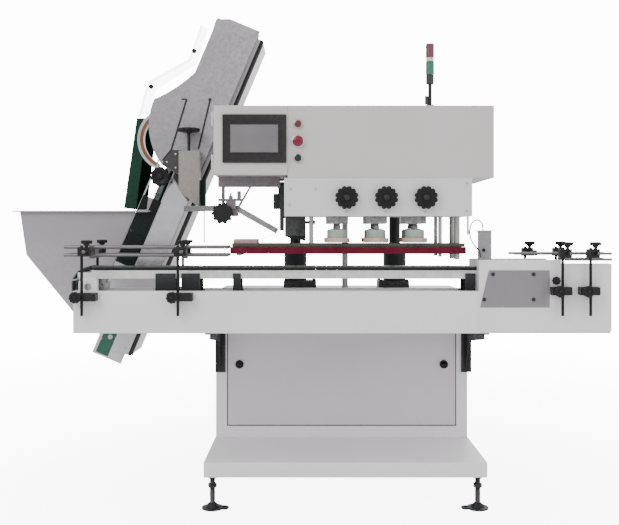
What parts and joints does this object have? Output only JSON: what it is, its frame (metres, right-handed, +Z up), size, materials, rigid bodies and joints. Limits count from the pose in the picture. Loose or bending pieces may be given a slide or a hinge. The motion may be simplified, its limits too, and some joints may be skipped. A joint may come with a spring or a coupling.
{
  "type": "capping machine",
  "caption": "Inline bottle capping machine: slat conveyor, inclined cap elevator with hopper, side gripper belts and paired capping wheels on a height-adjustable head",
  "frame": {"origin": "on the floor, at the centre of the four anchor holes in the levelling feet", "axes": "+X along the conveyor in the direction bottles travel, +Y away from the operator, +Z up"},
  "size_m": [2.247, 0.87, 1.8288],
  "materials": {
    "panel_paint": "satin powder coat, warm light grey",
    "dark_metal": "semi-gloss black paint",
    "knob_black": "moulded phenolic",
    "beam_paint": "satin powder coat, near white",
    "chain_plastic": "dark acetal slats",
    "machined_steel": "machined",
    "plate_grey": "satin grey",
    "cable_black": "PVC jacket",
    "polished_steel": "polished",
    "elevator_sheet": "fine brushed stainless sheet",
    "belt_green": "green conveyor belting",
    "chute_green": "green sheet",
    "clear_acrylic": "clear acrylic",
    "belt_red": "red gripper belt",
    "placer_grey": "grey-green enamel",
    "hmi_black": "textured moulding",
    "stop_red": "moulded",
    "lamp_dark_red": "lens",
    "start_green": "moulded",
    "tower_body": "stacked lenses on a black base",
    "motor_grey": "hammered motor paint",
    "wheel_rubber": "pale polyurethane"
  },
  "bodies": {
    "base": {"base_tray": "panel_paint", "levelling_feet": "dark_metal", "cabinet_shell": "panel_paint", "conveyor_frame": "beam_paint", "support_brackets": "dark_metal", "slat_chain": "chain_plastic", "drive_cover": "beam_paint", "inspection_plate": "plate_grey", "sensor_post": "beam_paint", "sensor_cable": "cable_black", "rail_stands": "dark_metal", "clamp_knobs": "knob_black", "column_sleeves": "dark_metal", "elevator_plates": "elevator_sheet", "elevator_belt": "belt_green", "sorter_plate": "elevator_sheet", "cap_track": "polished_steel", "return_chute": "chute_green", "guards": "clear_acrylic", "hopper": "elevator_sheet", "gearmotors": "motor_grey"},
    "head": {"head_casing": "panel_paint", "gear_case": "panel_paint", "head_posts": "polished_steel", "gripper_frame": "machined_steel", "gripper_belts": "belt_red", "cap_placer": "placer_grey", "cap_chute": "elevator_sheet", "signal_tower": "tower_body"},
    "cabinet_panel": {"cabinet_door": "panel_paint"},
    "lock_left": {"door_lock_left": "knob_black"},
    "lock_right": {"door_lock_right": "knob_black"},
    "drive_shaft": {"drive_sprocket": "machined_steel"},
    "tail_shaft": {"tail_sprocket": "machined_steel"},
    "lift_spindle": {"lift_screw": "machined_steel"},
    "elevator_head": {"elevator_head_roller": "machined_steel"},
    "elevator_tail": {"elevator_tail_roller": "machined_steel"},
    "rail_infeed_front": {"guide_rail_infeed_front": "polished_steel"},
    "rail_infeed_rear": {"guide_rail_infeed_rear": "polished_steel"},
    "rail_outfeed_front": {"guide_rail_outfeed_front": "polished_steel"},
    "rail_outfeed_rear": {"guide_rail_outfeed_rear": "polished_steel"},
    "control_box_door": {"control_door": "panel_paint", "hmi_panel": "hmi_black"},
    "estop": {"emergency_stop_button": "stop_red"},
    "stop_key": {"stop_button": "lamp_dark_red"},
    "start_key": {"start_button": "start_green"},
    "grip_drive_front": {"gripper_drive_front": "machined_steel"},
    "grip_drive_rear": {"gripper_drive_rear": "machined_steel"},
    "carriage_1": {"wheel_carriage_1": "machined_steel"},
    "knob_1": {"gap_knob_1": "knob_black"},
    "wheel_1_front": {"capping_wheel_1_front": "wheel_rubber"},
    "wheel_1_rear": {"capping_wheel_1_rear": "wheel_rubber"},
    "carriage_2": {"wheel_carriage_2": "machined_steel"},
    "knob_2": {"gap_knob_2": "knob_black"},
    "wheel_2_front": {"capping_wheel_2_front": "wheel_rubber"},
    "wheel_2_rear": {"capping_wheel_2_rear": "wheel_rubber"},
    "carriage_3": {"wheel_carriage_3": "machined_steel"},
    "knob_3": {"gap_knob_3": "knob_black"},
    "wheel_3_front": {"capping_wheel_3_front": "wheel_rubber"},
    "wheel_3_rear": {"capping_wheel_3_rear": "wheel_rubber"}
  },
  "joints": [
    {"name": "head_lift", "type": "slide", "parent": "base", "child": "head", "axis": [0, 0, 1], "range_m": [-0.02, 0.12]},
    {"name": "lift_screw_turn", "type": "hinge", "parent": "base", "child": "lift_spindle", "pos_m": [0.017, 0.07, 0.8], "axis": [0, 0, 1], "range_deg": [-1500, 8700]},
    {"name": "cabinet_panel_pull", "type": "slide", "parent": "base", "child": "cabinet_panel", "axis": [0, -1, 0], "range_m": [0, 0.15]},
    {"name": "door_lock_left_turn", "type": "hinge", "parent": "cabinet_panel", "child": "lock_left", "pos_m": [-0.4, -0.032, 0.462], "axis": [0, 1, 0], "range_deg": [-90, 0]},
    {"name": "door_lock_right_turn", "type": "hinge", "parent": "cabinet_panel", "child": "lock_right", "pos_m": [0.4, -0.032, 0.462], "axis": [0, 1, 0], "range_deg": [0, 90]},
    {"name": "conveyor_drive", "type": "hinge", "parent": "base", "child": "drive_shaft", "pos_m": [0.8496, -0.305, 0.78736], "axis": [0, 1, 0], "continuous": true},
    {"name": "conveyor_tail", "type": "hinge", "parent": "base", "child": "tail_shaft", "pos_m": [-0.903, -0.305, 0.78736], "axis": [0, 1, 0], "continuous": true},
    {"name": "elevator_drive", "type": "hinge", "parent": "base", "child": "elevator_head", "pos_m": [-0.42037, 0.125, 1.73466], "axis": [0, 1, 0], "continuous": true},
    {"name": "elevator_tail", "type": "hinge", "parent": "base", "child": "elevator_tail", "pos_m": [-0.91455, 0.125, 0.56476], "axis": [0, 1, 0], "continuous": true},
    {"name": "guide_rail_infeed_front_slide", "type": "slide", "parent": "base", "child": "rail_infeed_front", "axis": [0, 1, 0], "range_m": [-0.004, 0.02]},
    {"name": "guide_rail_infeed_rear_slide", "type": "slide", "parent": "base", "child": "rail_infeed_rear", "axis": [0, -1, 0], "range_m": [-0.004, 0.02]},
    {"name": "guide_rail_outfeed_front_slide", "type": "slide", "parent": "base", "child": "rail_outfeed_front", "axis": [0, 1, 0], "range_m": [-0.004, 0.02]},
    {"name": "guide_rail_outfeed_rear_slide", "type": "slide", "parent": "base", "child": "rail_outfeed_rear", "axis": [0, -1, 0], "range_m": [-0.004, 0.02]},
    {"name": "control_door_swing", "type": "hinge", "parent": "head", "child": "control_box_door", "pos_m": [-0.464, -0.4215, 1.299], "axis": [0, 0, 1], "range_deg": [-110, 0]},
    {"name": "emergency_stop_press", "type": "slide", "parent": "head", "child": "estop", "axis": [0, 1, 0], "range_m": [0, 0.006], "stiffness_N_per_m": 800},
    {"name": "stop_press", "type": "slide", "parent": "head", "child": "stop_key", "axis": [0, 1, 0], "range_m": [0, 0.004], "stiffness_N_per_m": 500},
    {"name": "start_press", "type": "slide", "parent": "head", "child": "start_key", "axis": [0, 1, 0], "range_m": [0, 0.004], "stiffness_N_per_m": 500},
    {"name": "wheel_gap_1", "type": "slide", "parent": "head", "child": "carriage_1", "axis": [0, 1, 0], "range_m": [-0.025, 0.025]},
    {"name": "gap_knob_1_turn", "type": "hinge", "parent": "head", "child": "knob_1", "pos_m": [0.003, -0.432, 1.099], "axis": [0, -1, 0], "range_deg": [-910, 910]},
    {"name": "capping_wheel_1_front_spin", "type": "hinge", "parent": "carriage_1", "child": "wheel_1_front", "pos_m": [-0.028, -0.364, 0.951], "axis": [0, 0, 1], "continuous": true},
    {"name": "capping_wheel_1_rear_spin", "type": "hinge", "parent": "head", "child": "wheel_1_rear", "pos_m": [-0.028, -0.246, 0.951], "axis": [0, 0, 1], "continuous": true},
    {"name": "wheel_gap_2", "type": "slide", "parent": "head", "child": "carriage_2", "axis": [0, 1, 0], "range_m": [-0.025, 0.025]},
    {"name": "gap_knob_2_turn", "type": "hinge", "parent": "head", "child": "knob_2", "pos_m": [0.14, -0.432, 1.099], "axis": [0, -1, 0], "range_deg": [-910, 910]},
    {"name": "capping_wheel_2_front_spin", "type": "hinge", "parent": "carriage_2", "child": "wheel_2_front", "pos_m": [0.109, -0.364, 0.951], "axis": [0, 0, 1], "continuous": true},
    {"name": "capping_wheel_2_rear_spin", "type": "hinge", "parent": "head", "child": "wheel_2_rear", "pos_m": [0.109, -0.246, 0.951], "axis": [0, 0, 1], "continuous": true},
    {"name": "wheel_gap_3", "type": "slide", "parent": "head", "child": "carriage_3", "axis": [0, 1, 0], "range_m": [-0.025, 0.025]},
    {"name": "gap_knob_3_turn", "type": "hinge", "parent": "head", "child": "knob_3", "pos_m": [0.277, -0.432, 1.099], "axis": [0, -1, 0], "range_deg": [-910, 910]},
    {"name": "capping_wheel_3_front_spin", "type": "hinge", "parent": "carriage_3", "child": "wheel_3_front", "pos_m": [0.246, -0.364, 0.951], "axis": [0, 0, 1], "continuous": true},
    {"name": "capping_wheel_3_rear_spin", "type": "hinge", "parent": "head", "child": "wheel_3_rear", "pos_m": [0.246, -0.246, 0.951], "axis": [0, 0, 1], "continuous": true},
    {"name": "gripper_drive_front_spin", "type": "hinge", "parent": "head", "child": "grip_drive_front", "pos_m": [0.397, -0.359, 0.92], "axis": [0, 0, 1], "continuous": true},
    {"name": "gripper_drive_rear_spin", "type": "hinge", "parent": "head", "child": "grip_drive_rear", "pos_m": [0.397, -0.251, 0.92], "axis": [0, 0, 1], "continuous": true}
  ],
  "couplings": [
    {"joint": "lift_screw_turn", "follows": "head_lift", "rad_per_m": 1256.6},
    {"joint": "conveyor_tail", "follows": "conveyor_drive", "ratio": 1},
    {"joint": "elevator_tail", "follows": "elevator_drive", "ratio": 1},
    {"joint": "gap_knob_1_turn", "follows": "wheel_gap_1", "rad_per_m": 628.32},
    {"joint": "capping_wheel_1_rear_spin", "follows": "capping_wheel_1_front_spin", "ratio": 1},
    {"joint": "gap_knob_2_turn", "follows": "wheel_gap_2", "rad_per_m": 628.32},
    {"joint": "capping_wheel_2_front_spin", "follows": "capping_wheel_1_front_spin", "ratio": 1},
    {"joint": "capping_wheel_2_rear_spin", "follows": "capping_wheel_1_front_spin", "ratio": 1},
    {"joint": "gap_knob_3_turn", "follows": "wheel_gap_3", "rad_per_m": 628.32},
    {"joint": "capping_wheel_3_front_spin", "follows": "capping_wheel_1_front_spin", "ratio": 1},
    {"joint": "capping_wheel_3_rear_spin", "follows": "capping_wheel_1_front_spin", "ratio": 1},
    {"joint": "gripper_drive_rear_spin", "follows": "gripper_drive_front_spin", "ratio": -1}
  ]
}
